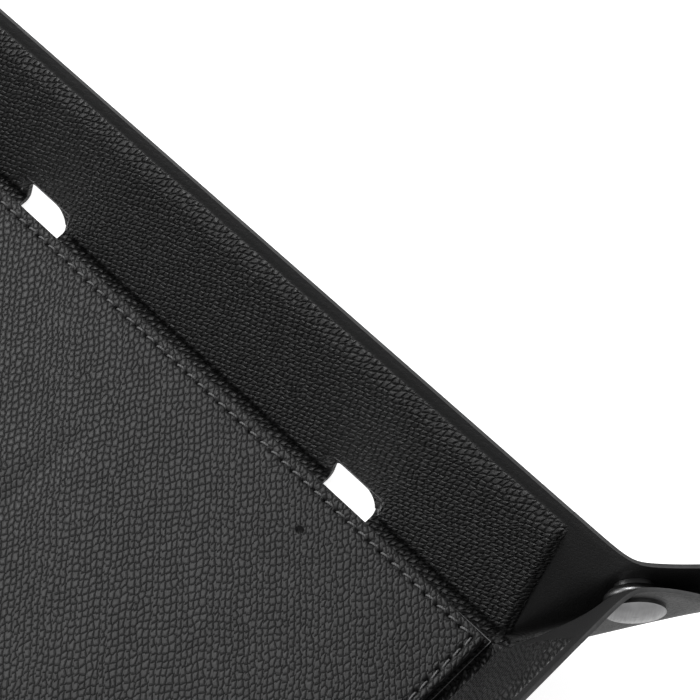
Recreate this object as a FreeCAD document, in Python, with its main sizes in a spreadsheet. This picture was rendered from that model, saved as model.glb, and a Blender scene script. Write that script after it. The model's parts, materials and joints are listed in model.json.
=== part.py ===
import FreeCAD, Part
import os
import re

import Sketcher

# Folding dice tray: a leathercloth sheet with boards glued between its two plies folds up
# into four leaning walls.  Each corner is pinched into a two-layer ear, held by a snap.
# Frame: origin under the middle of the base, +X along the long side, +Z up, millimetres.

SIZES = {
    "fold_length": 193.5,      # between the fold lines of the short walls
    "fold_width": 137,         # between the fold lines of the long walls
    "wall_slope": 41.4,        # fold line to rim, measured up the wall
    "flare": 22,               # lean of the walls from upright, degrees
    "cover_ply": 0.6,          # outer leathercloth
    "lining_ply": 0.6,         # inner leathercloth
    "board": 1.5,              # stiffening boards in base and walls
    "board_fit": 0.05,         # board edge to the pocket between the plies
    "fold_gap": 0.8,           # fold line to the nearest edge of each ply
    "wall_board_low": 2.5,     # fold line to the wall board
    "wall_board_end": 0.62,    # slanting end of the plies to the wall board, at its foot
    "wall_board_round": 4,     # top corners of the wall boards
    "rim_band": 6.0,           # soft strip above the wall boards
    "base_board_inset": 3.6,   # fold line to the base board
    "pad_margin": 4.5,         # fold line to the pad
    "pad_core": 1.6,
    "pad_cover": 0.9,
    "pad_round": 1.0,          # corner of the pad, seen from above
    "core_fit": 0.05,          # core to the cover around it
    "stitch_inset": 2.0,       # pad edge to the row of stitches
    "thread": 0.5,             # thread width, half of it sunk in the cover
    "thread_fit": 0.02,
    "slot_offset": 49.4,       # middle of the base to each slot
    "slot_width": 13.0,
    "slot_rise": 5.8,          # top of a slot above the fold line, up the wall
    "slot_round": 2.0,         # small corner of a slot
    "slot_arc": 4.8,           # large corner of a slot
    "slot_seal": 1.2,          # board kept back from a slot
    "hole_along": 48.6,        # middle of the base to the punched hole
    "hole_inset": 10.4,        # pad edge to the punched hole
    "hole_bore": 2.0,
    "ear_gap": 1.8,            # half the gap between the two layers of an ear
    "hinge_gap": 0.75,         # corner crease to the ply beside it
    "ear_round": 3.0,          # outer corner of the sheet
    "snap_below_rim": 9.4,
    "cap_diameter": 12.0,
    "cap_clear": 0.1,          # cap rim to the corner crease, seen square to the ear
    "cap_dome": 1.6,
    "cap_edge": 0.8,
    "rivet_post": 3.0,
    "rivet_fit": 0.05,
    "socket_diameter": 11.4,
    "socket_round": 0.9,
    "socket_height": 2.4,
    "socket_floor": 0.6,
    "socket_mouth": 5.4,
    "stud_flange": 8.0,
    "stud_seat": 0.9,
    "stud_post": 4.2,
    "stud_length": 1.8,
    "stud_round": 0.8,
    "eyelet_flange": 8.0,
    "eyelet_thick": 0.8,
    "eyelet_round": 0.5,
    "eyelet_bite": 1.2,        # how far the eyelet's post reaches into the stud
}

doc = FreeCAD.newDocument("FoldingDiceTray")
sheet = doc.addObject("Spreadsheet::Sheet", "Sizes")
for row, (name, size) in enumerate(SIZES.items(), start=1):
    sheet.set(f"A{row}", name)
    sheet.set(f"B{row}", str(size))
    sheet.setAlias(f"B{row}", name)
doc.recompute()

nodes = []


def named(text):
    """Write the sizes named in an expression as cells of the sheet."""
    return re.sub("[a-z_]+", lambda word: ("Sizes." if word[0] in SIZES else "") + word[0], text)


def value(text):
    """Number that an expression gives now."""
    result = sheet.evalExpression(named(text))
    return float(getattr(result, "Value", result))


def bind(thing, prop, text):
    thing.setExpression(prop, named(text))


# ---- Lines and angles that several pieces share, worked out from the sizes ----

HALF_LENGTH = "(fold_length / 2)"
HALF_WIDTH = "(fold_width / 2)"
LAYER = "(ear_gap + lining_ply)"
OUTER = "(ear_gap + lining_ply + cover_ply)"
# A corner crease leans from the square end of its wall, and rises from the table, by these angles.
CREASE_LEAN = "atan(sin(flare))"
CREASE_RISE = "atan(cos(flare) / (sqrt(2) * sin(flare)))"
WEDGE = f"(45 - {CREASE_LEAN} / 1deg)"
FOLD_RISE = f"({CREASE_RISE} / 1deg - {WEDGE})"
CREASE_START = f"(sqrt(2) * {LAYER})"
# The two layers part along the ear's fold, which takes a half round of cloth off each triangle.
EAR_START = (f"(pi / 2 * {LAYER} / sin({WEDGE})"
             f" - sqrt(2) * {LAYER} / (1 - sin(flare)) / cos({CREASE_LEAN}))")
EAR_OUT = f"({EAR_START} * cos({CREASE_RISE}) - {LAYER})"
EAR_UP = f"({EAR_START} * sin({CREASE_RISE}))"
EAR_REACH = f"(sqrt(2) * (wall_slope - {EAR_START} * cos({CREASE_LEAN})))"
SNAP_INSET = "(cap_diameter / 2 + cap_clear)"
SNAP_ALONG = (f"((wall_slope - snap_below_rim + {SNAP_INSET} * sin({CREASE_LEAN}))"
              f" / cos({CREASE_LEAN}))")
SNAP_OUT = f"({SNAP_ALONG} * cos({CREASE_RISE}) + {SNAP_INSET} * sin({CREASE_RISE}) - {LAYER})"
SNAP_UP = f"({SNAP_ALONG} * sin({CREASE_RISE}) - {SNAP_INSET} * cos({CREASE_RISE}))"


# ---- Drawing helpers ----

def new_body(label, placement):
    body = doc.addObject("PartDesign::Body", label)
    body.Label = label
    bind(body, "Placement", placement)
    nodes.append(body)
    return body


def new_sketch(body, name, role="XY_Plane", height="0"):
    sketch = body.newObject("Sketcher::SketchObject", name)
    plane = [feature for feature in body.Origin.OriginFeatures if feature.Role == role][0]
    sketch.AttachmentSupport = [(plane, "")]
    sketch.MapMode = "FlatFace"
    bind(sketch, "AttachmentOffset.Base.z", height)
    return sketch


def hold(sketch, edge, end, point):
    """Fix one point of an edge at the two expressions of its place."""
    for kind, place in zip(("DistanceX", "DistanceY"), point):
        index = sketch.addConstraint(Sketcher.Constraint(kind, -1, 1, edge, end, value(place)))
        bind(sketch, f"Constraints[{index}]", place)


def arc_between(start, end, radius, turn):
    """Arc shorter than a half circle; turn is 1 for counterclockwise travel, -1 for clockwise."""
    chord = end - start
    height = (radius ** 2 - (chord.Length / 2) ** 2) ** 0.5
    across = FreeCAD.Vector(-chord.y, chord.x, 0).normalize()
    centre = start + chord / 2 + across * height * turn
    circle = Part.Circle(centre, FreeCAD.Vector(0, 0, 1), radius)
    first, last = (start, end) if turn > 0 else (end, start)
    return Part.ArcOfCircle(circle, circle.parameter(first), circle.parameter(last))


def outline(sketch, corners):
    """Closed loop.  A corner is (x, y), or (x, y, radius, turn) where an arc leaves it."""
    points = [FreeCAD.Vector(value(corner[0]), value(corner[1]), 0) for corner in corners]
    first = sketch.GeometryCount
    ends = []
    for index, corner in enumerate(corners):
        start, end = points[index], points[(index + 1) % len(corners)]
        if len(corner) == 2:
            sketch.addGeometry(Part.LineSegment(start, end), False)
            ends.append((1, 2))
        else:
            turn = corner[3]
            sketch.addGeometry(arc_between(start, end, value(corner[2]), turn), False)
            ends.append((1, 2) if turn > 0 else (2, 1))
    for index, corner in enumerate(corners):
        following = (index + 1) % len(corners)
        sketch.addConstraint(Sketcher.Constraint(
            "Coincident", first + index, ends[index][1], first + following, ends[following][0]))
        hold(sketch, first + index, ends[index][0], corner[:2])
        if len(corner) == 4:
            radius = sketch.addConstraint(
                Sketcher.Constraint("Radius", first + index, value(corner[2])))
            bind(sketch, f"Constraints[{radius}]", corner[2])


def ring(sketch, centre, radius):
    place = FreeCAD.Vector(value(centre[0]), value(centre[1]), 0)
    circle = sketch.addGeometry(
        Part.Circle(place, FreeCAD.Vector(0, 0, 1), value(radius)), False)
    hold(sketch, circle, 3, centre)
    index = sketch.addConstraint(Sketcher.Constraint("Radius", circle, value(radius)))
    bind(sketch, f"Constraints[{index}]", radius)


def pad(body, sketch, length, downward=False):
    feature = body.newObject("PartDesign::Pad", sketch.Name + "_pad")
    feature.Profile = sketch
    feature.Reversed = downward
    bind(feature, "Length", length)


def pocket(body, sketch, depth):
    """Cut upward from the sketch."""
    feature = body.newObject("PartDesign::Pocket", sketch.Name + "_pocket")
    feature.Profile = sketch
    feature.Reversed = True
    bind(feature, "Length", depth)


def turned(label, placement, profile):
    """Piece turned about its own Z axis from a profile of (radius, height) corners."""
    body = new_body(label, placement)
    sketch = new_sketch(body, label + "_profile", "XZ_Plane")
    outline(sketch, profile)
    feature = body.newObject("PartDesign::Revolution", label + "_turned")
    feature.Profile = sketch
    feature.ReferenceAxis = (sketch, ["V_Axis"])
    feature.Angle = 360


def rounded_rectangle(half_x, half_y, radius):
    inner_x, inner_y = f"({half_x} - {radius})", f"({half_y} - {radius})"
    return [(f"- {inner_x}", f"- {half_y}"), (inner_x, f"- {half_y}", radius, 1),
            (half_x, f"- {inner_y}"), (half_x, inner_y, radius, 1),
            (inner_x, half_y), (f"- {inner_x}", half_y, radius, 1),
            (f"- {half_x}", inner_y), (f"- {half_x}", f"- {inner_y}", radius, 1)]


# ---- Base: cover, board and lining, with the slots open to both long fold lines ----

FLAT = "placement(vector(0; 0; 0); rotationz(0))"


def notched_rectangle(half_x, half_y, notch_half, notch_end):
    """Rectangle with two notches in each long side, as deep as half-width notch_end."""
    corners = []
    for side in ("- 1", "1"):
        run = "1" if side == "- 1" else "- 1"
        corners.append((f"- {run} * {half_x}", f"{side} * {half_y}"))
        for middle in ("- slot_offset", "slot_offset"):
            left = f"{run} * ({middle} - {notch_half})"
            right = f"{run} * ({middle} + {notch_half})"
            corners += [(left, f"{side} * {half_y}"), (left, f"{side} * {notch_end}"),
                        (right, f"{side} * {notch_end}"), (right, f"{side} * {half_y}")]
        corners.append((f"{run} * {half_x}", f"{side} * {half_y}"))
    return corners


def base_panel(sketch, grow):
    """Outline of the base board, grown by the cloth or the clearance around it."""
    inset = f"(base_board_inset - {grow})"
    outline(sketch, notched_rectangle(
        f"({HALF_LENGTH} - {inset})", f"({HALF_WIDTH} - {inset})",
        f"(slot_width / 2 + slot_seal - {grow})",
        f"({HALF_WIDTH} - pad_margin - slot_seal + {grow})"))


def punched_hole(sketch):
    ring(sketch, ("hole_along", f"{HALF_WIDTH} - pad_margin - hole_inset"), "hole_bore / 2")


def base_ply(sketch):
    outline(sketch, notched_rectangle(
        f"({HALF_LENGTH} - fold_gap)", f"({HALF_WIDTH} - fold_gap)",
        "slot_width / 2", f"({HALF_WIDTH} - pad_margin)"))
    punched_hole(sketch)


cover = new_body("base_cover", FLAT)
cover_outline = new_sketch(cover, "base_cover_outline")
base_ply(cover_outline)
pad(cover, cover_outline, "cover_ply")

base_board = new_body("base_board", FLAT)
board_outline = new_sketch(base_board, "base_board_outline", height="cover_ply")
base_panel(board_outline, "0")
punched_hole(board_outline)
pad(base_board, board_outline, "board")

lining = new_body("base_lining", FLAT)
lining_outline = new_sketch(lining, "base_lining_outline", height="cover_ply")
base_ply(lining_outline)
pad(lining, lining_outline, "lining_ply")
raised_outline = new_sketch(lining, "base_lining_raised", height="cover_ply")
base_panel(raised_outline, "lining_ply")
punched_hole(raised_outline)
pad(lining, raised_outline, "board + lining_ply")
board_space = new_sketch(lining, "base_lining_space", height="cover_ply")
base_panel(board_space, "board_fit")
pocket(lining, board_space, "board")


# ---- Pad sewn to the base ----

PAD_X = f"({HALF_LENGTH} - pad_margin)"
PAD_Y = f"({HALF_WIDTH} - pad_margin)"
PAD_FLOOR = "cover_ply + board + lining_ply"


def inner_pad(inset):
    """Rounded outline that runs a given distance inside the pad's edge."""
    return rounded_rectangle(f"({PAD_X} - {inset})", f"({PAD_Y} - {inset})", "pad_round")


pad_cover = new_body("pad_cover", FLAT)
pad_outline = new_sketch(pad_cover, "pad_cover_outline", height=PAD_FLOOR)
outline(pad_outline, inner_pad("0"))
punched_hole(pad_outline)
pad(pad_cover, pad_outline, "pad_core + pad_cover")
core_space = new_sketch(pad_cover, "pad_cover_space", height=PAD_FLOOR)
outline(core_space, inner_pad("(pad_cover - core_fit)"))
pocket(pad_cover, core_space, "pad_core")
groove = new_sketch(pad_cover, "pad_cover_groove", height=f"{PAD_FLOOR} + pad_core + pad_cover - thread / 2")
outline(groove, inner_pad("(stitch_inset - thread / 2 - thread_fit)"))
outline(groove, inner_pad("(stitch_inset + thread / 2 + thread_fit)"))
pocket(pad_cover, groove, "thread / 2")

pad_core = new_body("pad_core", FLAT)
core_outline = new_sketch(pad_core, "pad_core_outline", height=PAD_FLOOR)
outline(core_outline, inner_pad("pad_cover"))
punched_hole(core_outline)
pad(pad_core, core_outline, "pad_core")

pad_thread = new_body("pad_thread", FLAT)
thread_outline = new_sketch(
    pad_thread, "pad_thread_outline", height=f"{PAD_FLOOR} + pad_core + pad_cover - thread / 2")
outline(thread_outline, inner_pad("(stitch_inset - thread / 2)"))
outline(thread_outline, inner_pad("(stitch_inset + thread / 2)"))
pad(pad_thread, thread_outline, "thread")


# ---- Walls: drawn flat, x along the fold line, y up the slope, z into the tray ----

def wall_place(turn, distance):
    """Stand a wall on its fold line, a distance from the middle, turned about the upright."""
    out = (f"vector(- {distance} * sin({turn}) ;"
           f" {distance} * cos({turn}); cover_ply)")
    return f"placement({out}; rotationz({turn}) * rotationx(90 - flare))"


def slot_notch(middle):
    """Notch from the fold edge of a wall, round on one side and square on the other."""
    left, right = f"{middle} - slot_width / 2", f"{middle} + slot_width / 2"
    return [(left, "fold_gap"), (left, "slot_rise - slot_round", "slot_round", -1),
            (f"{left} + slot_round", "slot_rise"),
            (f"{right} - slot_arc", "slot_rise", "slot_arc", -1),
            (right, "slot_rise - slot_arc"), (right, "fold_gap")]


def wall_end(half, rise):
    """Half the length of a wall's plies, at a height up the slope."""
    return (f"({half} - {CREASE_START} - hinge_gap / cos({CREASE_LEAN})"
            f" + {rise} * sin(flare))")


def wall_ply(sketch, half, slotted):
    """A wall's ply: fold edge, rim, and slanting ends along the corner creases."""
    low, high = wall_end(half, "fold_gap"), wall_end(half, "wall_slope")
    notches = slot_notch("- slot_offset") + slot_notch("slot_offset") if slotted else []
    outline(sketch, [(f"- {low}", "fold_gap")] + notches + [
        (low, "fold_gap"), (high, "wall_slope"), (f"- {high}", "wall_slope")])


def wall_panel(sketch, half, slotted, grow):
    """Outline of a wall's board, grown by the cloth or the clearance around it."""
    foot = wall_end(half, "(wall_board_low - lining_ply)")
    end = f"({foot} - wall_board_end + {grow})"
    bottom = f"(wall_board_low - {grow})"
    top = f"(wall_slope - rim_band + {grow})"
    radius = f"(wall_board_round + {grow})"
    notches = []
    if slotted:
        for middle in ("- slot_offset", "slot_offset"):
            left = f"{middle} - (slot_width / 2 + slot_seal - {grow})"
            right = f"{middle} + (slot_width / 2 + slot_seal - {grow})"
            rise = f"slot_rise + slot_seal - {grow}"
            notches += [(left, bottom), (left, rise), (right, rise), (right, bottom)]
    outline(sketch, [(f"- {end}", bottom)] + notches + [
        (end, bottom), (end, f"{top} - {radius}", radius, 1),
        (f"{end} - {radius}", top), (f"- ({end} - {radius})", top, radius, 1),
        (f"- {end}", f"{top} - {radius}")])


WALLS = [
    ("wall_back", 0, HALF_WIDTH, HALF_LENGTH, True),
    ("wall_left", 90, HALF_LENGTH, HALF_WIDTH, False),
    ("wall_front", 180, HALF_WIDTH, HALF_LENGTH, True),
    ("wall_right", 270, HALF_LENGTH, HALF_WIDTH, False),
]
for wall, turn, distance, half, slotted in WALLS:
    place = wall_place(turn, distance)

    cover = new_body(wall + "_cover", place)
    cover_outline = new_sketch(cover, wall + "_cover_outline")
    wall_ply(cover_outline, half, slotted)
    pad(cover, cover_outline, "cover_ply", downward=True)

    wall_board = new_body(wall + "_board", place)
    board_outline = new_sketch(wall_board, wall + "_board_outline")
    wall_panel(board_outline, half, slotted, "0")
    pad(wall_board, board_outline, "board")

    lining = new_body(wall + "_lining", place)
    lining_outline = new_sketch(lining, wall + "_lining_outline")
    wall_ply(lining_outline, half, slotted)
    pad(lining, lining_outline, "lining_ply")
    raised_outline = new_sketch(lining, wall + "_lining_raised")
    wall_panel(raised_outline, half, slotted, "lining_ply")
    pad(lining, raised_outline, "board + lining_ply")
    board_space = new_sketch(lining, wall + "_lining_space")
    wall_panel(board_space, half, slotted, "board_fit")
    pocket(lining, board_space, "board")


# ---- Ears: drawn in the upright plane through the corner, x outward, y up ----

def in_ear(along, across):
    """Point of the ear, from its place along and across the fold under the ear."""
    return (f"{EAR_OUT} + ({along}) * cos({FOLD_RISE}) - ({across}) * sin({FOLD_RISE})",
            f"{EAR_UP} + ({along}) * sin({FOLD_RISE}) + ({across}) * cos({FOLD_RISE})")


EAR_TIP = f"({EAR_REACH} - (sqrt(2) - 1) * ear_round)"
ROUND_END = f"({EAR_REACH} - ear_round / sqrt(2))"
EAR_TOP = (f"(({EAR_REACH} + hinge_gap / cos({WEDGE}))"
           f" / (1 + tan({WEDGE})))")


def ear_ply(sketch):
    """Triangle of cloth between the corner crease, the rim and the fold under the ear."""
    outline(sketch, [
        in_ear(f"hinge_gap / sin({WEDGE})", "0"),
        in_ear(EAR_TIP, "0") + ("ear_round", 1),
        in_ear(ROUND_END, "ear_round / sqrt(2)"),
        in_ear(EAR_TOP, f"{EAR_REACH} - {EAR_TOP}")])
    ring(sketch, (SNAP_OUT, SNAP_UP), "rivet_post / 2 + rivet_fit")


def corner_place(along_x, along_y, out, up, flip):
    """Place at a corner: the piece's own Z crosses the ear, flip turns it the other way."""
    turn = {(1, 1): 45, (-1, 1): 135, (-1, -1): 225, (1, -1): 315}[(along_x, along_y)]
    spot = (f"vector({along_x} * {HALF_LENGTH} + {out} * cos({turn}) ;"
            f" {along_y} * {HALF_WIDTH} + {out} * sin({turn}); cover_ply + {up})")
    return f"placement({spot}; rotationz({turn}) * rotationx(90) * rotationx({flip}))"


CORNERS = [
    ("back_right", 1, 1),
    ("back_left", -1, 1),
    ("front_left", -1, -1),
    ("front_right", 1, -1),
]
for corner, along_x, along_y in CORNERS:
    place = corner_place(along_x, along_y, "0", "0", 0)
    short_is_up = along_x * along_y > 0
    for side, upward in (("long", not short_is_up), ("short", short_is_up)):
        flap = f"flap_{corner}_{side}"
        sign = "" if upward else "- "

        lining = new_body(flap + "_lining", place)
        lining_outline = new_sketch(lining, flap + "_lining_outline", height=f"{sign}ear_gap")
        ear_ply(lining_outline)
        pad(lining, lining_outline, "lining_ply", downward=not upward)

        cover = new_body(flap + "_cover", place)
        cover_outline = new_sketch(cover, flap + "_cover_outline", height=f"{sign}{LAYER}")
        ear_ply(cover_outline)
        pad(cover, cover_outline, "cover_ply", downward=not upward)

    # Snap: cap and socket on the short side's layer, stud and eyelet on the long side's.
    cap_side = corner_place(along_x, along_y, SNAP_OUT, SNAP_UP, 0 if short_is_up else 180)
    stud_side = corner_place(along_x, along_y, SNAP_OUT, SNAP_UP, 180 if short_is_up else 0)
    turned(f"snap_{corner}_cap", cap_side, [
        ("0", f"{OUTER} + cap_dome"), ("0", "ear_gap - socket_floor"),
        ("rivet_post / 2", "ear_gap - socket_floor"), ("rivet_post / 2", OUTER),
        ("cap_diameter / 2", OUTER),
        ("cap_diameter / 2", f"{OUTER} + cap_edge",
         "((cap_diameter / 2) ^ 2 + (cap_dome - cap_edge) ^ 2) / (2 * (cap_dome - cap_edge))",
         1)])
    turned(f"snap_{corner}_socket", cap_side, [
        ("rivet_post / 2 + rivet_fit", "ear_gap"),
        ("rivet_post / 2 + rivet_fit", "ear_gap - socket_floor"),
        ("socket_mouth / 2", "ear_gap - socket_floor"),
        ("socket_mouth / 2", "ear_gap - socket_height"),
        ("socket_diameter / 2 - socket_round", "ear_gap - socket_height"),
        ("socket_diameter / 2", "ear_gap - socket_height + socket_round", "socket_round", 1),
        ("socket_diameter / 2", "ear_gap")])
    turned(f"snap_{corner}_stud", stud_side, [
        ("0", "ear_gap - eyelet_bite"),
        ("rivet_post / 2 + rivet_fit", "ear_gap - eyelet_bite"),
        ("rivet_post / 2 + rivet_fit", "ear_gap"),
        ("stud_flange / 2", "ear_gap"),
        ("stud_flange / 2", "ear_gap - stud_seat"),
        ("stud_post / 2", "ear_gap - stud_seat"),
        ("stud_post / 2", "ear_gap - stud_seat - stud_length + stud_round", "stud_round", -1),
        ("stud_post / 2 - stud_round", "ear_gap - stud_seat - stud_length"),
        ("0", "ear_gap - stud_seat - stud_length")])
    turned(f"snap_{corner}_eyelet", stud_side, [
        ("0", f"{OUTER} + eyelet_thick"), ("0", "ear_gap - eyelet_bite"),
        ("rivet_post / 2", "ear_gap - eyelet_bite"), ("rivet_post / 2", OUTER),
        ("eyelet_flange / 2", OUTER),
        ("eyelet_flange / 2", f"{OUTER} + eyelet_thick - eyelet_round", "eyelet_round", 1),
        ("eyelet_flange / 2 - eyelet_round", f"{OUTER} + eyelet_thick")])

doc.recompute()

# ---- Check and write ----

for item in doc.Objects:
    if {"Invalid", "Error"} & set(item.State):
        raise RuntimeError(f"{item.Label} failed: {item.State}")
for node in nodes:
    if node.Shape.isNull() or not node.Shape.isValid():
        raise RuntimeError(f"{node.Label} has no valid shape")

os.makedirs("parts", exist_ok=True)
for node in nodes:
    node.Shape.exportStep(f"parts/{node.Label}.step")
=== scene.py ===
import json
import math
import random

import bmesh
import bpy
import numpy as np
from mathutils import Matrix, Vector

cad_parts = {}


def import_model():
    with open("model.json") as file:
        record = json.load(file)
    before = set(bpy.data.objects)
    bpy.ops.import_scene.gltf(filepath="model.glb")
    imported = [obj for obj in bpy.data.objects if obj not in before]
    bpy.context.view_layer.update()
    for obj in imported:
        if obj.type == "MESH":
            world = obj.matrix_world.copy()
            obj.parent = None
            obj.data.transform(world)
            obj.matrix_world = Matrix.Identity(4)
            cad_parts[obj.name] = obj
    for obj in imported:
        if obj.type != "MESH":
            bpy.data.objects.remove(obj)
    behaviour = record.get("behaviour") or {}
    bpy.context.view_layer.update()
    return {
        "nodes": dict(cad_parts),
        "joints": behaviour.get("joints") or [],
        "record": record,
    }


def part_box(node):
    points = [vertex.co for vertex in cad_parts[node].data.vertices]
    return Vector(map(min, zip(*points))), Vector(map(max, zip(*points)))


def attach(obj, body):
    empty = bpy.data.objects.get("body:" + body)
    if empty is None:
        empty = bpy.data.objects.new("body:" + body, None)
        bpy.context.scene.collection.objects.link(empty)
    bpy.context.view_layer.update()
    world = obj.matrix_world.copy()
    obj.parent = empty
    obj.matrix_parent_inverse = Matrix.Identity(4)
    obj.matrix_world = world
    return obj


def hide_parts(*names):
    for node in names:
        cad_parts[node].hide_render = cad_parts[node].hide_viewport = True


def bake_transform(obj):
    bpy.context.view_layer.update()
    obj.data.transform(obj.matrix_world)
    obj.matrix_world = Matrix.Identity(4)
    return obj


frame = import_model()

# Folding dice tray.  Shapes are worked out in millimetres from the CAD frame and scaled to metres
# when a mesh is made.  A wall is drawn in its own axes: along the fold, outward, and up from the
# middle of the leathercloth in the base.

MM = 0.001
JOINTS = {joint["name"]: joint for joint in frame["joints"]}


def box_mm(node):
    low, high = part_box(node)
    return np.array(low) / MM, np.array(high) / MM


def joint_mm(name):
    return np.array(JOINTS[name]["pos_m"]) / MM


# ---- Sizes read from the frame ----

HALF_LENGTH = joint_mm("wall_right_fold")[0]
HALF_WIDTH = joint_mm("wall_back_fold")[1]
MIDDLE = joint_mm("wall_back_fold")[2]
PLY = MIDDLE
CREASE_AXIS = np.abs(JOINTS["flap_back_right_long_crease"]["axis"])
CREASE_RISE = math.asin(CREASE_AXIS[2])
FLARE = math.atan(1 / (math.sqrt(2) * math.tan(CREASE_RISE)))
LAYER = (HALF_LENGTH - joint_mm("flap_back_right_long_crease")[0]) / math.sqrt(2)
SLOPE = (box_mm("wall_back_cover")[1][2] - MIDDLE) / math.cos(FLARE)
PAD_LOW, PAD_HIGH = box_mm("pad_cover")
BOARD = box_mm("base_board")[1][2] - box_mm("base_board")[0][2]
SNAP = (box_mm("snap_back_right_stud")[0] + box_mm("snap_back_right_socket")[1]) / 2
SLOTS = {opening["name"]: np.array(opening["box_m"]).mean(axis=0) / MM
         for opening in frame["record"]["physics"]["openings"]
         if opening["name"].startswith("slot")}

# ---- Sizes of what only the looks need ----

FOLD_RADIUS = 2.0          # leathercloth bending from base to wall
RIDGE = 2.8                # where the corner pieces take over from base and walls
PANEL_END = (1.7, 2.2)     # fold corner to a raised board, and width of the slope over its edge
PANEL_LOW = (1.2, 1.8)     # the same from the middle of the bend
PANEL_TOP = (3.0, 4.5)     # the same from the rim
RIM_PRESS = 0.3            # share of the thickness pressed out of the sheet at its rim
EDGE_GROOVE = 0.1          # glue line between the plies, sunk in the cut edge
SLOT_HALF = 6.5
SLOT_RISE = 5.8            # top of a slot above the fold line, up the wall
SLOT_ROUND = 2.0           # its small corner
SLOT_ARC = 4.8             # its large corner
HOLE_RADIUS = 1.0          # punched hole through pad and base
HOLE_PLACE = (48.6, 53.6)
STITCH_INSET = 2.0         # edge of the pad to the seam
STITCH_PITCH = 3.3


def ease(value):
    value = np.clip(value, 0, 1)
    return value * value * (3 - 2 * value)


def unit(vectors):
    return vectors / np.maximum(np.linalg.norm(vectors, axis=-1, keepdims=True), 1e-9)


# ---- Materials ----

class Nodes:
    """A material's node tree, with short ways to add and join nodes."""

    def __init__(self, name):
        self.material = bpy.data.materials.new(name)
        self.material.use_nodes = True
        self.tree = self.material.node_tree
        self.shader = self.tree.nodes["Principled BSDF"]

    def add(self, kind, inputs=None, **settings):
        node = self.tree.nodes.new(kind)
        for key, setting in settings.items():
            setattr(node, key, setting)
        for key, source in (inputs or {}).items():
            if isinstance(source, bpy.types.NodeSocket):
                self.tree.links.new(source, node.inputs[key])
            else:
                node.inputs[key].default_value = source
        return node

    def sheet_place(self):
        """Place on the flat sheet, in millimetres."""
        return self.add("ShaderNodeAttribute", attribute_name="sheet").outputs["Vector"]

    def mask(self):
        return self.add("ShaderNodeAttribute", attribute_name="grained").outputs["Fac"]

    def math(self, operation, a, b=0.0):
        return self.add("ShaderNodeMath", {0: a, 1: b}, operation=operation).outputs[0]

    def mix(self, factor, a, b):
        node = self.add("ShaderNodeMix", {"Factor": factor}, data_type="RGBA")
        for index, colour in ((6, a), (7, b)):
            if isinstance(colour, bpy.types.NodeSocket):
                self.tree.links.new(colour, node.inputs[index])
            else:
                node.inputs[index].default_value = colour
        return node.outputs[2]

    def mix_value(self, factor, a, b):
        return self.add("ShaderNodeMix", {"Factor": factor, 2: a, 3: b}).outputs[0]

    def range(self, value, low, high, to_low, to_high):
        return self.add("ShaderNodeMapRange", {
            "Value": value, "From Min": low, "From Max": high,
            "To Min": to_low, "To Max": to_high}).outputs["Result"]

    def noise(self, place, scale, detail=3.0, rough=0.5):
        return self.add("ShaderNodeTexNoise", {
            "Vector": place, "Scale": scale, "Detail": detail, "Roughness": rough}).outputs["Fac"]

    def put(self, **inputs):
        """Set or join the shader's sockets."""
        for key, source in inputs.items():
            socket = self.shader.inputs[key.replace("_", " ")]
            if isinstance(source, bpy.types.NodeSocket):
                self.tree.links.new(source, socket)
            else:
                socket.default_value = source


def grey(level, alpha=1.0):
    return (level, level, level * 1.01, alpha)


def pebbles(nodes, place, strong, weak, scatter, warp):
    """Pebbled grain between two families of lines, each an (angle, spacing) on the flat sheet.

    The weak lines break at every strong one.  Gives the distance from a pebble's edge, in pebbles,
    and a random shade for each pebble."""
    drift = nodes.add("ShaderNodeTexNoise", {"Vector": place, "Scale": 0.16, "Detail": 3.0})
    wander = nodes.add("ShaderNodeVectorMath", {
        0: drift.outputs["Color"], 1: (0.5, 0.5, 0.5)}, operation="SUBTRACT")
    shift = nodes.add("ShaderNodeVectorMath", {
        0: wander.outputs[0], "Scale": warp}, operation="SCALE")
    moved = nodes.add("ShaderNodeVectorMath", {0: place, 1: shift.outputs[0]}, operation="ADD")
    counts = []
    for angle, spacing in (weak, strong):
        turn = math.radians(angle)
        across = (-math.sin(turn) / spacing, math.cos(turn) / spacing, 0)
        step = nodes.add("ShaderNodeVectorMath", {
            0: moved.outputs[0], 1: across}, operation="DOT_PRODUCT")
        counts.append(step.outputs["Value"])
    row = nodes.math("FLOOR", counts[1])
    stagger = nodes.add("ShaderNodeTexWhiteNoise", {"W": row}, noise_dimensions="1D")
    staggered = nodes.math("ADD", counts[0], stagger.outputs["Value"])
    lattice = nodes.add("ShaderNodeCombineXYZ", {"X": staggered, "Y": counts[1]})
    shape = {"Vector": lattice.outputs[0], "Scale": 1.0, "Randomness": scatter}
    edges = nodes.add("ShaderNodeTexVoronoi", shape,
                      feature="DISTANCE_TO_EDGE", voronoi_dimensions="2D")
    cells = nodes.add("ShaderNodeTexVoronoi", shape, feature="F1", voronoi_dimensions="2D")
    return edges.outputs["Distance"], cells.outputs["Color"]


def wrinkles(nodes):
    """Fine wrinkles in rings round the corner of two folds."""
    foot = nodes.add("ShaderNodeAttribute", attribute_name="foot").outputs["Fac"]
    wave = nodes.math("SINE", nodes.math("MULTIPLY", foot, 2 * math.pi / 0.85))
    shown = nodes.math("MULTIPLY", nodes.range(foot, 1.5, 3.0, 0.0, 1.0),
                       nodes.range(foot, 4.0, 7.0, 1.0, 0.0))
    return nodes.math("MULTIPLY", wave, shown)


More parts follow.
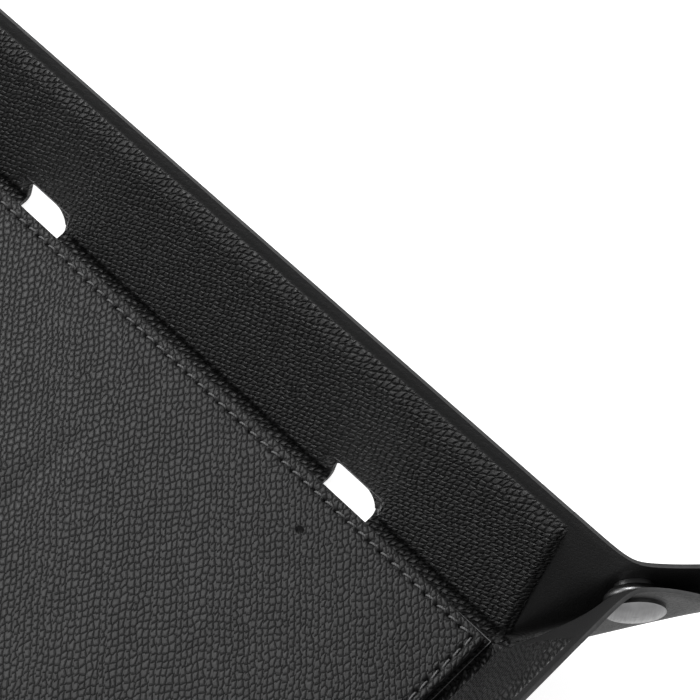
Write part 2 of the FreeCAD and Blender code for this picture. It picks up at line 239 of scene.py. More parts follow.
def leather(name, shade, rough, strong, weak, scatter, depth, warp=2.6, plain=0.0, gleam=0.4):
    """Leathercloth: pebbled grain over a fine one, with painted shade in the valleys between pebbles and
    on the smooth parts.  plain is the grain left where it is smooth.
    """
    nodes = Nodes(name)
    place = nodes.sheet_place()
    edge, tint = pebbles(nodes, place, strong, weak, scatter, warp)
    fine = nodes.noise(place, 3.4, 4.0, 0.65)
    broad = nodes.noise(place, 0.05, 3.0)
    edge = nodes.math("ADD", edge, nodes.range(fine, 0.3, 0.7, -0.025, 0.025))
    dome = nodes.math("POWER", nodes.range(edge, 0.0, 0.3, 0.0, 1.0), 0.6)
    shown = nodes.range(nodes.mask(), 0.0, 1.0, plain, 1.0)
    height = nodes.math("MULTIPLY", dome, shown)
    height = nodes.math("ADD", height, nodes.math("MULTIPLY", fine, 0.12))
    height = nodes.math("ADD", height, nodes.math("MULTIPLY", wrinkles(nodes), 0.06))
    bump = nodes.add("ShaderNodeBump", {"Height": height, "Strength": 1.0, "Distance": depth * MM})
    valley = nodes.math("MULTIPLY", nodes.range(edge, 0.0, 0.13, 1.0, 0.0), shown)
    varied = nodes.add("ShaderNodeSeparateColor", {"Color": tint}).outputs[0]
    # Smooth parts take 0.72 of the colour and grained ones about 1: painted shade on the smooth rim
    # bands and corners.
    level = nodes.mix_value(shown, 0.72, nodes.range(varied, 0.0, 1.0, 0.8, 1.2))
    level = nodes.math("MULTIPLY", level, nodes.range(broad, 0.3, 0.7, 0.9, 1.1))
    # Valleys between the pebbles are darkened to 0.15 of the colour: painted shade in the grain's
    # creases.
    level = nodes.math("MULTIPLY", level, nodes.range(valley, 0.0, 1.0, 1.0, 0.15))
    colour = nodes.add("ShaderNodeVectorMath", {
        0: grey(shade)[:3], "Scale": level}, operation="SCALE")
    gloss = nodes.range(fine, 0.25, 0.75, rough - 0.06, rough + 0.08)
    gloss = nodes.math("ADD", gloss, nodes.math("MULTIPLY", valley, 0.35))
    nodes.put(Base_Color=colour.outputs[0], Roughness=gloss, Normal=bump.outputs["Normal"],
              Specular_IOR_Level=gleam)
    return nodes.material


def cut_edge(name):
    """Cut edge of the two plies: paler backing cloth with a fibrous streak."""
    nodes = Nodes(name)
    place = nodes.add("ShaderNodeTexCoord").outputs["Object"]
    fibre = nodes.noise(place, 900.0, 4.0, 0.7)
    patch = nodes.noise(place, 60.0, 3.0)
    colour = nodes.mix(fibre, grey(0.045), grey(0.12))
    colour = nodes.mix(nodes.range(patch, 0.35, 0.65, 0.0, 0.5), colour, grey(0.025))
    bump = nodes.add("ShaderNodeBump", {"Height": fibre, "Strength": 0.7, "Distance": 0.12 * MM})
    nodes.put(Base_Color=colour, Roughness=0.85, Normal=bump.outputs["Normal"])
    return nodes.material


def satin_metal(name):
    """Nickel-plated snap: satin, with fine scratches and a little tarnish."""
    nodes = Nodes(name)
    place = nodes.add("ShaderNodeTexCoord").outputs["Object"]
    streak = nodes.add("ShaderNodeMapping", {"Vector": place, "Scale": (2400, 2400, 160)})
    scratch = nodes.noise(streak.outputs[0], 1.0, 3.0, 0.6)
    tarnish = nodes.noise(place, 160.0, 3.0)
    colour = nodes.mix(nodes.range(tarnish, 0.35, 0.7, 0.0, 1.0), grey(0.21), grey(0.14))
    rough = nodes.range(scratch, 0.3, 0.7, 0.3, 0.46)
    bump = nodes.add("ShaderNodeBump", {"Height": scratch, "Strength": 0.25, "Distance": 0.03 * MM})
    nodes.put(Base_Color=colour, Metallic=1.0, Roughness=rough, Normal=bump.outputs["Normal"])
    return nodes.material


def board_stock(name, level, scale):
    nodes = Nodes(name)
    place = nodes.add("ShaderNodeTexCoord").outputs["Object"]
    fleck = nodes.noise(place, scale, 5.0, 0.6)
    colour = nodes.mix(fleck, grey(level * 0.8), grey(level * 1.2))
    bump = nodes.add("ShaderNodeBump", {"Height": fleck, "Strength": 0.5, "Distance": 0.1 * MM})
    nodes.put(Base_Color=colour, Roughness=0.9, Normal=bump.outputs["Normal"])
    return nodes.material


def sewing_thread(name):
    nodes = Nodes(name)
    place = nodes.add("ShaderNodeTexCoord").outputs["Object"]
    twist = nodes.add("ShaderNodeTexWave", {
        "Vector": place, "Scale": 900.0, "Distortion": 2.0}, bands_direction="DIAGONAL")
    colour = nodes.mix(twist.outputs["Fac"], grey(0.08), grey(0.2))
    bump = nodes.add("ShaderNodeBump", {
        "Height": twist.outputs["Fac"], "Strength": 0.6, "Distance": 0.08 * MM})
    nodes.put(Base_Color=colour, Roughness=0.6, Normal=bump.outputs["Normal"])
    return nodes.material


LINING = leather("lining_leather", 0.031, 0.4, (26, 1.3), (77, 1.25), 0.4, 0.75, warp=1.6, plain=0.03)
COVER = leather("outer_leather", 0.02, 0.5, (30, 0.8), (80, 1.0), 0.8, 0.1, plain=0.3)
PAD_FACE = leather("pad_leather", 0.029, 0.5, (-45, 1.28), (66, 1.6), 0.45, 0.22, warp=1.4)
EDGE = cut_edge("cut_edge")
METAL = satin_metal("snap_metal")
GREYBOARD = board_stock("greyboard", 0.3, 300.0)
FOAM = board_stock("foam", 0.2, 900.0)
THREAD = sewing_thread("thread")


# ---- Mesh helpers ----

def new_object(name, vertices, faces, materials, face_materials=None):
    mesh = bpy.data.meshes.new(name)
    mesh.from_pydata((np.asarray(vertices) * MM).tolist(), [], faces)
    for material in materials:
        mesh.materials.append(material)
    if face_materials is not None:
        mesh.polygons.foreach_set("material_index", face_materials)
    mesh.polygons.foreach_set("use_smooth", [True] * len(mesh.polygons))
    mesh.update()
    thing = bpy.data.objects.new(name, mesh)
    bpy.context.scene.collection.objects.link(thing)
    return thing


def add_attributes(thing, sheet, shown, foot=99.0):
    """Store the place on the flat sheet, the grain's strength and the distance from a fold corner."""
    place = thing.data.attributes.new("sheet", "FLOAT_VECTOR", "POINT")
    flat = np.zeros((len(thing.data.vertices), 3), np.float32)
    flat[:, :2] = sheet
    place.data.foreach_set("vector", flat.ravel())
    strength = thing.data.attributes.new("grained", "FLOAT", "POINT")
    strength.data.foreach_set("value", np.asarray(shown, np.float32))
    distance = thing.data.attributes.new("foot", "FLOAT", "POINT")
    distance.data.foreach_set("value", np.zeros(len(flat), np.float32) + np.float32(foot))


def corners_of(thing):
    """Vertex places in millimetres."""
    places = np.zeros(len(thing.data.vertices) * 3, np.float32)
    thing.data.vertices.foreach_get("co", places)
    return places.reshape(-1, 3).astype(float) / MM


def shell(top, bottom, flip=False):
    """Closed shell between two grids of points: vertices, faces and a material for each face."""
    rows, columns = top.shape[:2]
    border = ([(0, c) for c in range(columns)] + [(r, columns - 1) for r in range(1, rows)]
              + [(rows - 1, c) for c in range(columns - 2, -1, -1)]
              + [(r, 0) for r in range(rows - 2, 0, -1)])
    centre = (top + bottom) / 2
    groove = []
    for index, (r, c) in enumerate(border):
        before, after = border[index - 1], border[(index + 1) % len(border)]
        along = centre[after] - centre[before]
        across = np.cross(along, top[r, c] - bottom[r, c])
        groove.append(centre[r, c] - EDGE_GROOVE * across / max(np.linalg.norm(across), 1e-9))
    vertices = np.concatenate([top.reshape(-1, 3), bottom.reshape(-1, 3), np.array(groove)])
    count = rows * columns
    faces, kinds = [], []
    for r in range(rows - 1):
        for c in range(columns - 1):
            a, b = r * columns + c, r * columns + c + 1
            d, e = a + columns, b + columns
            faces += [(a, b, e, d), (count + a, count + d, count + e, count + b)]
            kinds += [0, 1]
    for index, (r, c) in enumerate(border):
        following = (index + 1) % len(border)
        r2, c2 = border[following]
        a, b = r * columns + c, r2 * columns + c2
        m, n = 2 * count + index, 2 * count + following
        faces += [(b, a, m, n), (n, m, count + a, count + b)]
        kinds += [2, 2]
    if flip:
        faces = [face[::-1] for face in faces]
    return vertices, faces, kinds


def prism(outline, low, high, placed, material):
    """Straight cutter from an outline in a plane, between two heights across it."""
    count = len(outline)
    vertices = [placed(x, y, low) for x, y in outline] + [placed(x, y, high) for x, y in outline]
    faces = [tuple(range(count))[::-1], tuple(range(count, 2 * count))]
    for index in range(count):
        following = (index + 1) % count
        faces.append((index, following, count + following, count + index))
    cutter = new_object("cutter", vertices, faces, [material])
    solid = bmesh.new()
    solid.from_mesh(cutter.data)
    bmesh.ops.recalc_face_normals(solid, faces=solid.faces)
    solid.to_mesh(cutter.data)
    solid.free()
    return cutter


def cut(thing, cutter):
    modifier = thing.modifiers.new("cut", "BOOLEAN")
    modifier.operation = "DIFFERENCE"
    modifier.solver = "EXACT"
    modifier.material_mode = "TRANSFER"
    modifier.object = cutter
    graph = bpy.context.evaluated_depsgraph_get()
    result = bpy.data.meshes.new_from_object(thing.evaluated_get(graph))
    thing.modifiers.clear()
    old = thing.data
    thing.data = result
    bpy.data.meshes.remove(old)


def remove(*things):
    for thing in things:
        bpy.data.objects.remove(thing)


def finish_shape(thing, angle=38):
    thing.data.set_sharp_from_angle(angle=math.radians(angle))


def lines(*stops):
    """Grid lines: (place, spacing after it), ..., last place."""
    made = []
    for (start, spacing), following in zip(stops[:-1], stops[1:]):
        end = following[0] if isinstance(following, tuple) else following
        steps = max(1, round((end - start) / spacing))
        made.append(np.linspace(start, end, steps, endpoint=False))
    return np.concatenate(made + [[float(stops[-1])]])


# ---- The bend from base to wall ----

LEAN = math.pi / 2 - FLARE
ARC_HALF = FOLD_RADIUS * LEAN / 2
TANGENT = FOLD_RADIUS * math.tan(LEAN / 2)
RIM = SLOPE - TANGENT + ARC_HALF       # length up the sheet from the middle of the bend


def fold_profile(along):
    """Outward place, height and inward normal at a length up the sheet from the bend."""
    along = np.asarray(along, float)
    turn = np.clip((along + ARC_HALF) / FOLD_RADIUS, 0, LEAN)
    run_in = np.minimum(along + ARC_HALF, 0)
    run_up = np.maximum(along - ARC_HALF, 0)
    out = -TANGENT + FOLD_RADIUS * np.sin(turn) + run_in + run_up * math.sin(FLARE)
    up = FOLD_RADIUS * (1 - np.cos(turn)) + run_up * math.cos(FLARE)
    return out, up, -np.sin(turn), np.cos(turn)


def raised(along, rise, half):
    """How far the leathercloth has climbed onto a wall's board, 0 to 1."""
    end = ease((half - np.abs(along) - PANEL_END[0]) / PANEL_END[1])
    low = ease((rise - PANEL_LOW[0]) / PANEL_LOW[1])
    return end * low * ease((RIM - rise - PANEL_TOP[0]) / PANEL_TOP[1])


def clear_of_slots(along, beyond):
    """0 at the slots, where the boards stop short, to 1; beyond is the distance past a slot's end."""
    aside = np.maximum(np.abs(np.abs(along) - SLOTS["slot_back_right"][0]) - SLOT_HALF, 0)
    return ease((np.hypot(aside, np.maximum(beyond, 0)) - 0.2) / 1.5)


def grained(along, rise, half):
    """Where the pebbled grain shows: over the board and its slopes, and round the fold."""
    foot = ease((2.5 - rise) / 2.0) * ease((half - RIDGE - np.abs(along)) / 3.0)
    return np.maximum(ease(raised(along, rise, half) * 6), foot)


def ply(rise):
    """Thickness of one ply, pressed thinner at the rim."""
    return PLY * (1 - RIM_PRESS * ease((rise - RIM + 1.8) / 1.8))


# ---- Walls ----

def wall_world(turn, distance):
    """Function from a wall's own axes to the tray's."""
    cosine, sine = round(math.cos(turn)), round(math.sin(turn))

    def place(along, out, up):
        y = distance + out
        return (along * cosine - y * sine, along * sine + y * cosine, up + MIDDLE)
    return place


def slot_outline(middle, low):
    left, right = middle - SLOT_HALF, middle + SLOT_HALF
    outline = [(left, low), (left, SLOT_RISE - SLOT_ROUND)]
    outline += [(left + SLOT_ROUND * (1 - math.cos(a)), SLOT_RISE - SLOT_ROUND * (1 - math.sin(a)))
                for a in np.linspace(0.2, math.pi / 2, 6)]
    outline += [(right - SLOT_ARC * (1 - math.sin(a)), SLOT_RISE - SLOT_ARC * (1 - math.cos(a)))
                for a in np.linspace(0, math.pi / 2, 20)]
    return outline + [(right, low)]


def wall_cutters(place):
    """Cutters for the part of a long wall's slots that is cut up the wall."""
    below, inside, outside = -0.5, -3.5, 4.0
    def on_wall(x, y, across):
        return place(x, y * math.sin(FLARE) - across * math.cos(FLARE),
                     y * math.cos(FLARE) + across * math.sin(FLARE))
    offset = SLOTS["slot_back_right"][0]
    return [prism(slot_outline(middle, below), inside, outside, on_wall, COVER)
            for middle in (-offset, offset)]


def base_cutters(place):
    """Cutters for the part of a long wall's slots that is cut through the base."""
    offset = SLOTS["slot_back_right"][0]
    inner, outer = PAD_HIGH[1] - HALF_WIDTH, 1.4
    low, high = -4.0, 2.6
    return [prism([(middle - SLOT_HALF, inner), (middle + SLOT_HALF, inner),
                   (middle + SLOT_HALF, outer), (middle - SLOT_HALF, outer)],
                  low, high, place, COVER)
            for middle in (-offset, offset)]


def make_wall(name, turn, distance, half, slotted):
    place = wall_world(turn, distance)
    end = half - RIDGE
    along = lines((-end, 0.35), (-end + 3.2, 1.5), (end - 3.2, 0.35), end)
    rise = lines((-RIDGE, 0.4), (-ARC_HALF, 0.25), (ARC_HALF, 0.3), (4.2, 1.2),
                 (RIM - sum(PANEL_TOP), 0.4), (RIM - PANEL_TOP[0], 0.6), RIM)
    u, s = np.meshgrid(along, rise)
    out, up, normal_out, normal_up = fold_profile(s)
    lift, drop = BOARD * raised(u, s, half), ply(s)
    if slotted:
        lift = lift * clear_of_slots(u, s - SLOT_RISE)
    lift = lift + ply(s)
    top = np.stack(place(u, out + normal_out * lift, up + normal_up * lift), axis=-1)
    bottom = np.stack(place(u, out - normal_out * drop, up - normal_up * drop), axis=-1)
    vertices, faces, kinds = shell(top, bottom)
    wall = new_object(name + "_sheet", vertices, faces, [LINING, COVER, EDGE], kinds)
    if slotted:
        cutters = wall_cutters(place) + base_cutters(place)
        for cutter in cutters:
            cut(wall, cutter)
        remove(*cutters)
    places = corners_of(wall)
    cosine, sine = round(math.cos(turn)), round(math.sin(turn))
    u = places[:, 0] * cosine + places[:, 1] * sine
    out = -places[:, 0] * sine + places[:, 1] * cosine - distance
    up = places[:, 2] - MIDDLE
    rise = np.where(out * math.cos(LEAN / 2) + up * math.sin(LEAN / 2) > 0,
                    out * math.sin(FLARE) + up * math.cos(FLARE) + ARC_HALF - TANGENT, out)
    add_attributes(wall, np.stack([u, rise], axis=-1), grained(u, rise, half))
    finish_shape(wall)
    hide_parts(name + "_cover", name + "_lining")
    start = place(0, -TANGENT, 0)
    end = place(0, TANGENT * math.sin(FLARE), TANGENT * math.cos(FLARE))
    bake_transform(wall)
    return wall


WALLS = [
    ("wall_back", 0, HALF_WIDTH, HALF_LENGTH, True),
    ("wall_left", math.pi / 2, HALF_LENGTH, HALF_WIDTH, False),
    ("wall_front", math.pi, HALF_WIDTH, HALF_LENGTH, True),
    ("wall_right", -math.pi / 2, HALF_LENGTH, HALF_WIDTH, False),
]
for wall in WALLS:
    make_wall(*wall)


# ---- Corners: half of one, drawn in its long wall's axes from the corner of the folds ----

CREASE_LEAN = math.atan(math.sin(FLARE))
WEDGE = math.pi / 4 - CREASE_LEAN
FOLD_RISE = CREASE_RISE - WEDGE
EAR_START = (math.pi / 2 * LAYER / math.sin(WEDGE)
             - math.sqrt(2) * LAYER / (1 - math.sin(FLARE)) / math.cos(CREASE_LEAN))
EAR_OUT = EAR_START * math.cos(CREASE_RISE) - LAYER
EAR_UP = EAR_START * math.sin(CREASE_RISE)
HALF_ROUND = math.pi / 2 * LAYER
SNAP_OUT = math.hypot(SNAP[0] - HALF_LENGTH, SNAP[1] - HALF_WIDTH)
SNAP_UP = SNAP[2] - MIDDLE
CORNER_ROWS, CORNER_COLUMNS = 64, 84


def ear_place(out, up, across):
    """Point from its place in the upright plane through the corner."""
    return np.stack([(out + across) / math.sqrt(2), (out - across) / math.sqrt(2), up], axis=-1)


def flat_to_ear(x, y):
    """Where a point of the flat sheet lies on the ear, around the fold under it."""
    hinge_x = -math.sqrt(2) * LAYER + EAR_START * math.sin(CREASE_LEAN)
    hinge_y = EAR_START * math.cos(CREASE_LEAN)
    along = (x + y - hinge_x - hinge_y) / math.sqrt(2)
    beside = (y - x) / math.sqrt(2) - HALF_ROUND
    turn = np.clip(-beside / LAYER, 0, math.pi / 2)
    over = np.maximum(beside, 0) - LAYER * np.sin(turn)
    out = EAR_OUT + along * math.cos(FOLD_RISE) - over * math.sin(FOLD_RISE)
    up = EAR_UP + along * math.sin(FOLD_RISE) + over * math.cos(FOLD_RISE)
    return ear_place(out, up, -LAYER * np.cos(turn))


def settle(points, hold, rounds):
    """Let a folded grid ease towards a smooth sheet; hold is 0 where it is pinned."""
    for _ in range(rounds):
        mirrored = points[:, -2:-1][:, :, [1, 0, 2]]
        wide = np.concatenate([points[:, :1], points, mirrored], axis=1)
        high = np.concatenate([points[:1], points, 2 * points[-1:] - points[-2:-1]], axis=0)
        pull = (wide[:, :-2] + wide[:, 2:] + high[:-2] + high[2:]) / 4 - points
        points = points + pull * hold[..., None]
        centre = (points[:, -1, 0] + points[:, -1, 1]) / 2
        points[:, -1, 0] = centre
        points[:, -1, 1] = centre
    return points


def half_corner(spread):
    """Middle surface, normals and flat places of half a corner; spread opens the ear's tip."""
    rise = np.linspace(0, RIM, CORNER_ROWS)
    out, up, _, _ = fold_profile(rise)
    last = np.where(rise < ARC_HALF, np.maximum(rise, out), rise)
    last[0] = out[0]
    share = np.linspace(0, 1, CORNER_COLUMNS)
    x = -RIDGE + (last[:, None] + RIDGE) * share[None, :]
    y = np.repeat((rise + TANGENT - ARC_HALF)[:, None], CORNER_COLUMNS, axis=1)
    on_wall = np.stack([x, np.broadcast_to(out[:, None], x.shape),
                        np.broadcast_to(up[:, None], x.shape)], axis=-1)
    past_crease = x + math.sqrt(2) * LAYER - y * math.tan(CREASE_LEAN)
    points = np.where((past_crease > 0)[..., None], flat_to_ear(x, y), on_wall)
    points[0] = on_wall[0]
    snap_place = ear_place(SNAP_OUT, SNAP_UP, -LAYER)
    from_snap = np.linalg.norm(points - snap_place, axis=-1)
    to_fold = np.maximum((y - x) / math.sqrt(2), 0)
    hold = ease((from_snap - 6.6) / 5.0) * ease((x + RIDGE) / 5.0) * ease(rise / 4.0)[:, None]
    hold = hold * (0.12 + 0.88 * ease(to_fold / 9.0))
    beyond = (points[..., 0] + points[..., 1]) / math.sqrt(2) - SNAP_OUT - 5.5
    opening = spread * ease(beyond / 16.0) * np.clip(to_fold / 9.0, 0, 1)
    away = np.array([-1, 1, 0]) / math.sqrt(2)
    points = points + opening[..., None] * away
    points = settle(points, hold * 0.9, 130)
    normals = unit(np.cross(np.gradient(points, axis=1), np.gradient(points, axis=0)))
    middle = normals[:, -1, :2].mean(axis=-1)
    normals[:, -1, 0] = middle
    normals[:, -1, 1] = middle
    normals = unit(normals)
    return points, normals, np.stack([x, y], axis=-1)


def make_flap(name, signs, side, spread, flat_start):
    points, normals, flat = half_corner(spread)
    gap = np.array([-1, 1, 0]) * 0.03
    order = [0, 1, 2] if side == "long" else [1, 0, 2]
    scale = np.array([signs[0], signs[1], 1])
    corner = np.array([signs[0] * HALF_LENGTH, signs[1] * HALF_WIDTH, MIDDLE])

    def world(grid):
        return grid[..., order] * scale + corner
    rise = np.linspace(0, RIM, CORNER_ROWS)[:, None]
    lift = raised(HALF_WIDTH + flat[..., 0], rise, HALF_WIDTH)
    top = world(points + normals * (ply(rise) + BOARD * lift)[..., None] + gap)
    bottom = world(points - normals * ply(rise)[..., None] + gap)
    mirrored = (signs[0] * signs[1] < 0) != (side == "short")
    vertices, faces, kinds = shell(top, bottom, flip=mirrored)
    flap = new_object(name + "_sheet", vertices, faces, [LINING, COVER, EDGE], kinds)
    count = points.shape[0] * points.shape[1]
    sheet = np.zeros((len(vertices), 2))
    sheet[:count] = flat.reshape(-1, 2) + flat_start
    sheet[count:2 * count] = sheet[:count]
    shown, foot = np.zeros(len(vertices)), np.full(len(vertices), 99.0)
    shown[:count] = grained(HALF_WIDTH + flat[..., 0], rise, HALF_WIDTH).ravel()
    foot[:count] = np.linalg.norm(points, axis=-1).ravel()
    add_attributes(flap, sheet, shown, foot)
    finish_shape(flap, 50)
    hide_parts(name + "_cover", name + "_lining")
    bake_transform(flap)
    return flap


CORNERS = [
    ("back_right", (1, 1), 1.4, 3.4),
    ("back_left", (-1, 1), 2.2, 1.8),
    ("front_left", (-1, -1), 1.6, 2.6),
    ("front_right", (1, -1), 2.4, 1.6),
]
for corner, signs, long_spread, short_spread in CORNERS:
    make_flap(f"flap_{corner}_long", signs, "long", long_spread, (HALF_LENGTH, 0))
    make_flap(f"flap_{corner}_short", signs, "short", short_spread, (HALF_WIDTH, 0))


# ---- Base ----

def make_base_corners():
    """The sheet between base and fold at the four corners, in one piece."""
    rows = np.linspace(-RIDGE, 0, 14)
    out, up, normal_out, normal_up = fold_profile(rows)
    share = np.linspace(0, 1, 10)
    x = -RIDGE + (out[:, None] + RIDGE) * share[None, :]
    points = np.stack([x, np.broadcast_to(out[:, None], x.shape),
                       np.broadcast_to(up[:, None], x.shape)], axis=-1)
    lean = np.broadcast_to(np.stack([0 * out, normal_out, normal_up], axis=-1)[:, None], points.shape)
    mitre = unit(lean + lean[..., [1, 0, 2]])
    normals = unit(lean * (1 - ease(share)[None, :, None]) + mitre * ease(share)[None, :, None])
    everything, faces, kinds, count = [], [], [], 0
    for _, signs, _, _ in CORNERS:
        for side, order in (("long", [0, 1, 2]), ("short", [1, 0, 2])):
            scale = np.array([signs[0], signs[1], 1])
            corner = np.array([signs[0] * HALF_LENGTH, signs[1] * HALF_WIDTH, MIDDLE])
            mirrored = (signs[0] * signs[1] < 0) != (side == "short")
            part, part_faces, part_kinds = shell(
                (points + normals * PLY)[..., order] * scale + corner,
                (points - normals * PLY)[..., order] * scale + corner, flip=mirrored)
            everything.append(part)
            faces += [tuple(index + count for index in face) for face in part_faces]
            kinds += part_kinds
            count += len(part)
    vertices = np.concatenate(everything)
    corners = new_object("base_corners", vertices, faces, [LINING, COVER, EDGE], kinds)
    from_corner = np.abs(vertices) - (HALF_LENGTH, HALF_WIDTH, MIDDLE)
    add_attributes(corners, vertices[:, :2], np.full(len(vertices), 0.6),
                   np.linalg.norm(from_corner, axis=1))
    finish_shape(corners, 60)
    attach(corners, "base")


def hole_cutter():
    ring = [(HOLE_PLACE[0] + HOLE_RADIUS * math.cos(a), HOLE_PLACE[1] + HOLE_RADIUS * math.sin(a))
            for a in np.linspace(0, 2 * math.pi, 28, endpoint=False)]
    return prism(ring, -3.0, 12.0, lambda x, y, z: (x, y, z), EDGE)


def make_base():
    half_x, half_y = HALF_LENGTH - RIDGE, HALF_WIDTH - RIDGE
    along = lines((-half_x, 0.3), (-half_x + 2.4, 3.0), (half_x - 2.4, 0.3), half_x)
    across = lines((-half_y, 0.3), (-half_y + 2.4, 3.0), (half_y - 2.4, 0.3), half_y)
    x, y = np.meshgrid(along, across)
    inset = np.minimum(half_x - np.abs(x), half_y - np.abs(y))
    lift = BOARD * ease(inset / 1.6) * clear_of_slots(x, PAD_HIGH[1] - np.abs(y))
    top = np.stack([x, y, MIDDLE + PLY + lift], axis=-1)
    bottom = np.stack([x, y, 0 * x], axis=-1)
    vertices, faces, kinds = shell(top, bottom)
    base = new_object("base_sheet", vertices, faces, [LINING, COVER, EDGE], kinds)
    cutters = [hole_cutter()]
    for turn in (0, math.pi):
        cutters += base_cutters(wall_world(turn, HALF_WIDTH))
    for cutter in cutters:
        cut(base, cutter)
    remove(*cutters)
    places = corners_of(base)
    add_attributes(base, places[:, :2], np.ones(len(places)))
    finish_shape(base)
    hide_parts("base_cover", "base_lining")
    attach(base, "base")


make_base_corners()
make_base()


# ---- Pad ----

PAD_ROUND = 1.0             # corners of the pad, seen from above
PAD_EDGE = 0.4              # sloping edge of the cover, all round the pad's face
PAD_DROP = 0.3              # how far that edge falls
PAD_SAG = 0.12              # the face lower at its rim than in the middle
CHANNEL_DEPTH = 0.22        # seam pulled into the face
CHANNEL_WIDTH = 0.55
NEEDLE_DEPTH = 1.4
NEEDLE_WIDTH = 0.46
PAD_BULGE = 0.65            # long edges of the pad swelling outward
THREAD_RADIUS = 0.25
THREAD_LIFT = 0.12
PAD_X, PAD_Y = PAD_HIGH[0], PAD_HIGH[1]
PAD_TOP, PAD_FLOOR = PAD_HIGH[2], PAD_LOW[2]
SEAM_X, SEAM_Y = PAD_X - STITCH_INSET, PAD_Y - STITCH_INSET


def needle_holes():
    """Places of the needle holes, in order round the pad."""
    holes = []
    for start, end in (((-SEAM_X, SEAM_Y), (SEAM_X, SEAM_Y)), ((SEAM_X, SEAM_Y), (SEAM_X, -SEAM_Y)),
                       ((SEAM_X, -SEAM_Y), (-SEAM_X, -SEAM_Y)), ((-SEAM_X, -SEAM_Y), (-SEAM_X, SEAM_Y))):
        start, end = np.array(start), np.array(end)
        steps = round(np.linalg.norm(end - start) / STITCH_PITCH)
        holes += [start + (end - start) * index / steps for index in range(steps)]
    return np.array(holes)


HOLES = needle_holes()


def pad_surface(x, y):
    """Height of the pad's face: gentle swell, sewn channel, needle holes and a fold mark."""
    inset = np.minimum(PAD_X - np.abs(x), PAD_Y - np.abs(y))
    height = PAD_TOP - PAD_SAG * (1 - ease(inset / 14.0))
    height = height + 0.07 * np.sin(x / 17.0 + 1.3) * np.sin(y / 13.0)
    channel = np.exp(-((inset - STITCH_INSET) / CHANNEL_WIDTH) ** 2)
    height = height - CHANNEL_DEPTH * channel
    fold = np.exp(-(x / 2.6) ** 2) - 0.6 * np.exp(-((x + 6.75) / 4.0) ** 2)
    height = height - 0.32 * fold * ease((PAD_Y - np.abs(y) - 18.0) / 26.0)
    near = inset < STITCH_INSET + 1.2
    if near.any():
        spots = np.stack([x[near], y[near]], axis=-1)
        nearest = np.full(len(spots), 9.0)
        for hole in HOLES:
            nearest = np.minimum(nearest, np.hypot(spots[:, 0] - hole[0], spots[:, 1] - hole[1]))
        height[near] -= NEEDLE_DEPTH * np.exp(-(nearest / NEEDLE_WIDTH) ** 2)
    edge = np.clip(1 - inset / PAD_EDGE, 0, 1)
    return height - PAD_DROP * edge


def pad_lines(half):
    """Fine lines along the sewn edge, and round the needle holes all the way between."""
    return lines((-half, 0.12), (-half + PAD_EDGE, 0.3), (-half + 3.2, 0.57),
                 (half - 3.2, 0.3), (half - PAD_EDGE, 0.12), half)


def bulge(x, y):
    """How far the long edges swell outward: a little at the seam, more at the very edge."""
    past_seam = ease((np.abs(y) - SEAM_Y - 0.5) / 1.4)
    return PAD_BULGE * ease((PAD_X - np.abs(x)) / 40.0) * (0.25 + 0.75 * past_seam)


def make_pad():
    x, y = np.meshgrid(pad_lines(PAD_X), pad_lines(PAD_Y))
    z = pad_surface(x, y)
    in_x = np.maximum(np.abs(x) - (PAD_X - PAD_ROUND), 0) / PAD_ROUND
    in_y = np.maximum(np.abs(y) - (PAD_Y - PAD_ROUND), 0) / PAD_ROUND
    reach = np.maximum(np.hypot(in_x, in_y), 1e-9)
    shrink = np.where((in_x > 0) & (in_y > 0), np.maximum(in_x, in_y) / reach, 1)
    round_x = np.sign(x) * (np.minimum(np.abs(x), PAD_X - PAD_ROUND) + PAD_ROUND * in_x * shrink)
    round_y = np.sign(y) * (np.minimum(np.abs(y), PAD_Y - PAD_ROUND) + PAD_ROUND * in_y * shrink)
    round_y = round_y + np.sign(y) * bulge(x, y) * ease((np.abs(y) - PAD_Y + 20) / 20)
    top = np.stack([round_x, round_y, z], axis=-1)
    bottom = np.stack([round_x, round_y, np.full_like(x, PAD_FLOOR)], axis=-1)
    vertices, faces, kinds = shell(top, bottom)
    pad = new_object("pad_face", vertices, faces, [PAD_FACE, COVER, COVER], kinds)
    cutter = hole_cutter()
    cut(pad, cutter)
    remove(cutter)
    places = corners_of(pad)
    add_attributes(pad, places[:, :2], np.ones(len(places)))
    finish_shape(pad, 42)
    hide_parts("pad_cover", "pad_core")
    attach(pad, "base")


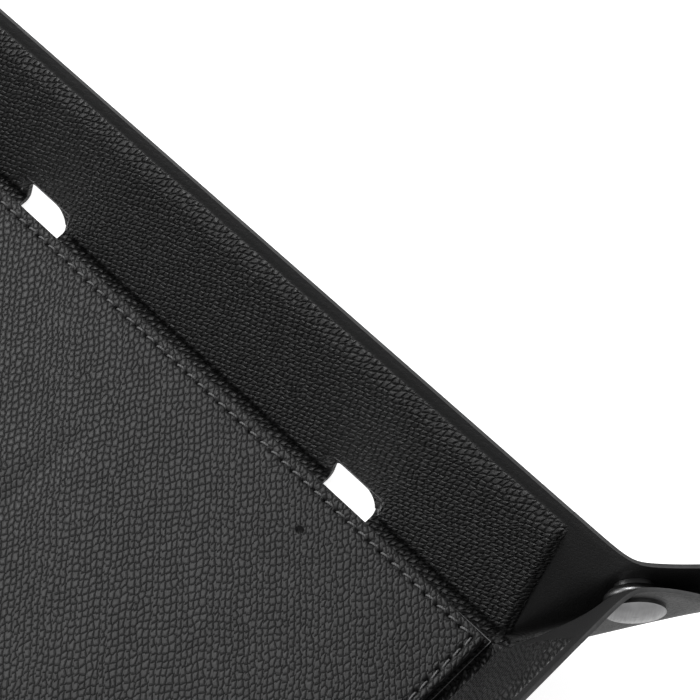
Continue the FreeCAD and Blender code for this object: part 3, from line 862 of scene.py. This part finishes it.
def make_stitches():
    """Threads of the seam: each rises out of a hole, lies aslant and sinks in before the next."""
    random.seed(11)
    vertices, faces = [], []
    sides = 7
    ground = PAD_TOP - PAD_SAG - CHANNEL_DEPTH + THREAD_LIFT
    for index, start in enumerate(HOLES):
        end = HOLES[(index + 1) % len(HOLES)]
        length = np.linalg.norm(end - start)
        if length > 1.6 * STITCH_PITCH:
            continue
        forward = (end - start) / length
        beside = np.array([-forward[1], forward[0]])
        slant = 0.4 + random.uniform(-0.1, 0.1)
        swell = bulge(start[0], start[1]) * (abs(start[1]) > SEAM_Y - 0.1)
        shift = np.array([0, math.copysign(swell, start[1])])
        path = []
        for share, height in ((0.04, -0.6), (0.13, -0.1), (0.25, 0.08), (0.38, 0.12),
                              (0.52, 0.06), (0.63, -0.1), (0.7, -0.5)):
            spot = start + forward * length * share + beside * slant * share + shift
            path.append(np.array([spot[0], spot[1], ground + height]))
        first = len(vertices)
        for at, point in enumerate(path):
            ahead = path[min(at + 1, len(path) - 1)] - path[max(at - 1, 0)]
            ahead = ahead / np.linalg.norm(ahead)
            side_way = unit(np.cross(ahead, [0, 0, 1]))
            up_way = np.cross(side_way, ahead)
            for turn in np.linspace(0, 2 * math.pi, sides, endpoint=False):
                around = math.cos(turn) * side_way + math.sin(turn) * up_way
                vertices.append(point + THREAD_RADIUS * around)
        for ring in range(len(path) - 1):
            for at in range(sides):
                a = first + ring * sides + at
                b = first + ring * sides + (at + 1) % sides
                faces.append((a, b, b + sides, a + sides))
        faces.append(tuple(range(first, first + sides))[::-1])
        faces.append(tuple(range(len(vertices) - sides, len(vertices))))
    thread = new_object("pad_stitches", vertices, faces, [THREAD])
    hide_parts("pad_thread")
    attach(thread, "base")


make_pad()
make_stitches()


# ---- CAD nodes that stay ----

def dress(node, material):
    node.data.materials.clear()
    node.data.materials.append(material)


for name, node in frame["nodes"].items():
    if name.startswith("snap"):
        dress(node, METAL)
    elif name.endswith("_board"):
        dress(node, GREYBOARD)
    elif name == "pad_core":
        dress(node, FOAM)


# ---- Camera, floor and light ----

def place_camera():
    """Long lens, looking down over the back right corner."""
    data = bpy.data.cameras.new("camera")
    data.sensor_width = 36.0
    data.lens = 105.6
    camera = bpy.data.objects.new("camera", data)
    bpy.context.scene.collection.objects.link(camera)
    from_pad_corner = Vector((80.4, -119.9, 398.8))
    camera.location = (Vector((PAD_X, PAD_Y, PAD_TOP)) + from_pad_corner) * MM
    right = Vector((0.708, 0.706, 0.0)).normalized()
    forward = Vector((-0.326, 0.327, -0.887)).normalized()
    up = right.cross(forward)
    camera.matrix_world = Matrix((
        (right.x, up.x, -forward.x, camera.location.x),
        (right.y, up.y, -forward.y, camera.location.y),
        (right.z, up.z, -forward.z, camera.location.z),
        (0, 0, 0, 1)))
    data.clip_start, data.clip_end = 0.01, 20
    bpy.context.scene.camera = camera


def place_floor():
    size, low = 4000.0, -0.2
    floor = new_object("floor", [(-size, -size, low), (size, -size, low), (size, size, low),
                                 (-size, size, low)], [(0, 1, 2, 3)], [])
    nodes = Nodes("floor_white")
    nodes.put(Base_Color=(0.8, 0.8, 0.8, 1), Roughness=0.9, Emission_Color=(1, 1, 1, 1),
              Emission_Strength=0.85)
    floor.data.materials.append(nodes.material)


def area_light(name, place, target, size, power):
    data = bpy.data.lights.new(name, "AREA")
    data.shape = "RECTANGLE"
    data.size, data.size_y = size
    data.energy = power
    light = bpy.data.objects.new(name, data)
    light.location = place
    light.rotation_mode = "QUATERNION"
    light.rotation_quaternion = (Vector(target) - Vector(place)).to_track_quat("-Z", "Y")
    bpy.context.scene.collection.objects.link(light)


def place_lights():
    world = bpy.data.worlds.new("studio")
    world.use_nodes = True
    world.node_tree.nodes["Background"].inputs["Color"].default_value = (1, 1, 1, 1)
    world.node_tree.nodes["Background"].inputs["Strength"].default_value = 0.32
    bpy.context.scene.world = world
    area_light("key", (-0.68, 0.25, 0.9), (0, 0, 0), (0.45, 0.45), 10)
    area_light("fill", (-0.75, -0.7, 0.5), (0, 0, 0), (0.8, 0.5), 4.5)
    bpy.context.scene.view_settings.view_transform = "Standard"


place_camera()
place_floor()
place_lights()
